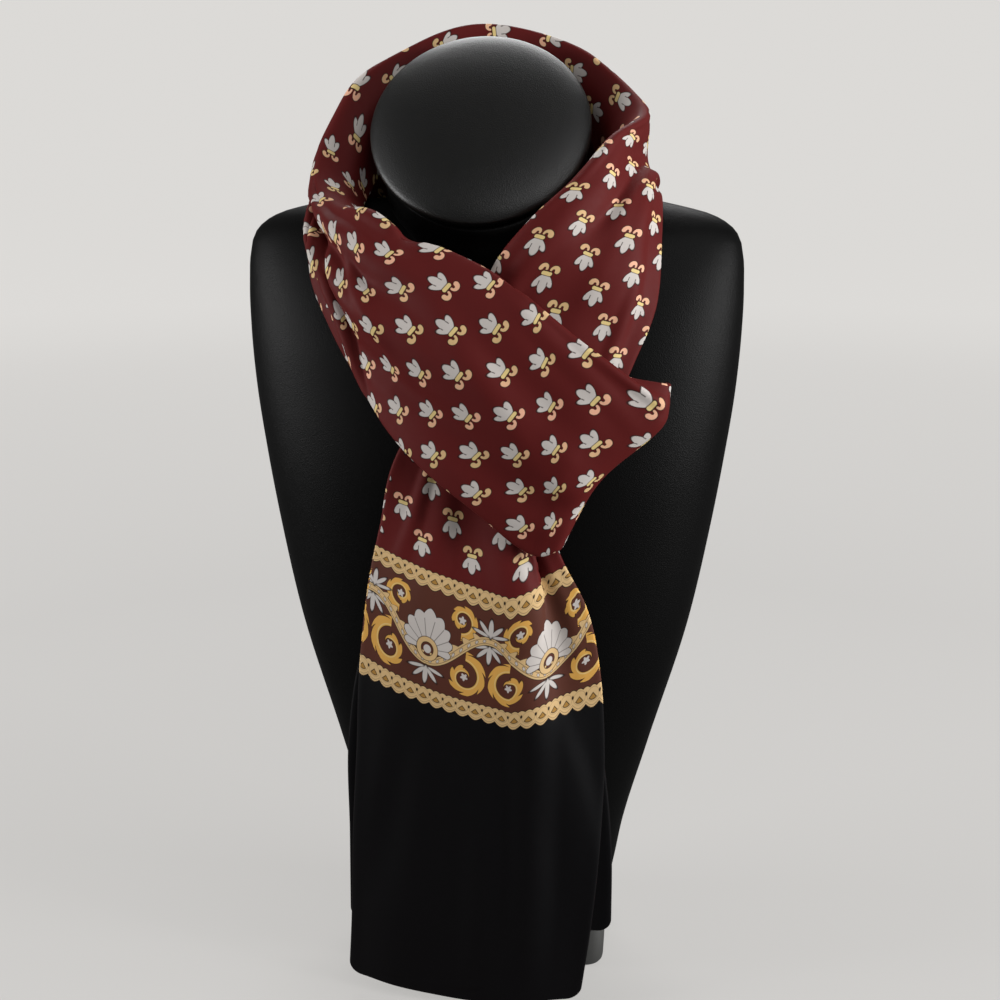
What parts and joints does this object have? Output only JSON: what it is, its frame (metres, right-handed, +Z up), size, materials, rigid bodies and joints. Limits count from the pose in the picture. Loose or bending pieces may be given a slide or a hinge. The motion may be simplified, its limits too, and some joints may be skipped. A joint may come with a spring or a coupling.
{
  "type": "cashmere scarf on a limbless display bust",
  "caption": "Long printed scarf wound round the neck of a limbless display bust, crossed on the chest, with its ends hanging in front.",
  "frame": {"origin": "middle of the outline from above, on the floor under the bust's foot", "axes": "+Z up, the chest and the scarf's ends face -Y, the viewer's right is +X"},
  "size_m": [0.299, 0.1852, 0.5829],
  "materials": {
    "scarf_print": "printed cashmere and silk, burgundy with a small off-white and gold bud repeat, soft sheen",
    "scarf_end": "plain black end of the same cloth, below a brown border between scalloped gold edgings",
    "bust_cover": "fine-grained black leatherette, satin",
    "foot_block": "satin black"
  },
  "bodies": {
    "root": {"bust_form": "bust_cover", "neck_cap": "bust_cover", "bust_foot": "foot_block", "scarf_front_tail": "scarf_end", "scarf_right_stretch": "scarf_print", "scarf_collar_back": "scarf_print", "scarf_left_stretch": "scarf_print", "scarf_crossing_band": "scarf_print", "scarf_tuck": "scarf_print", "scarf_back_tail": "scarf_end"}
  },
  "joints": []
}
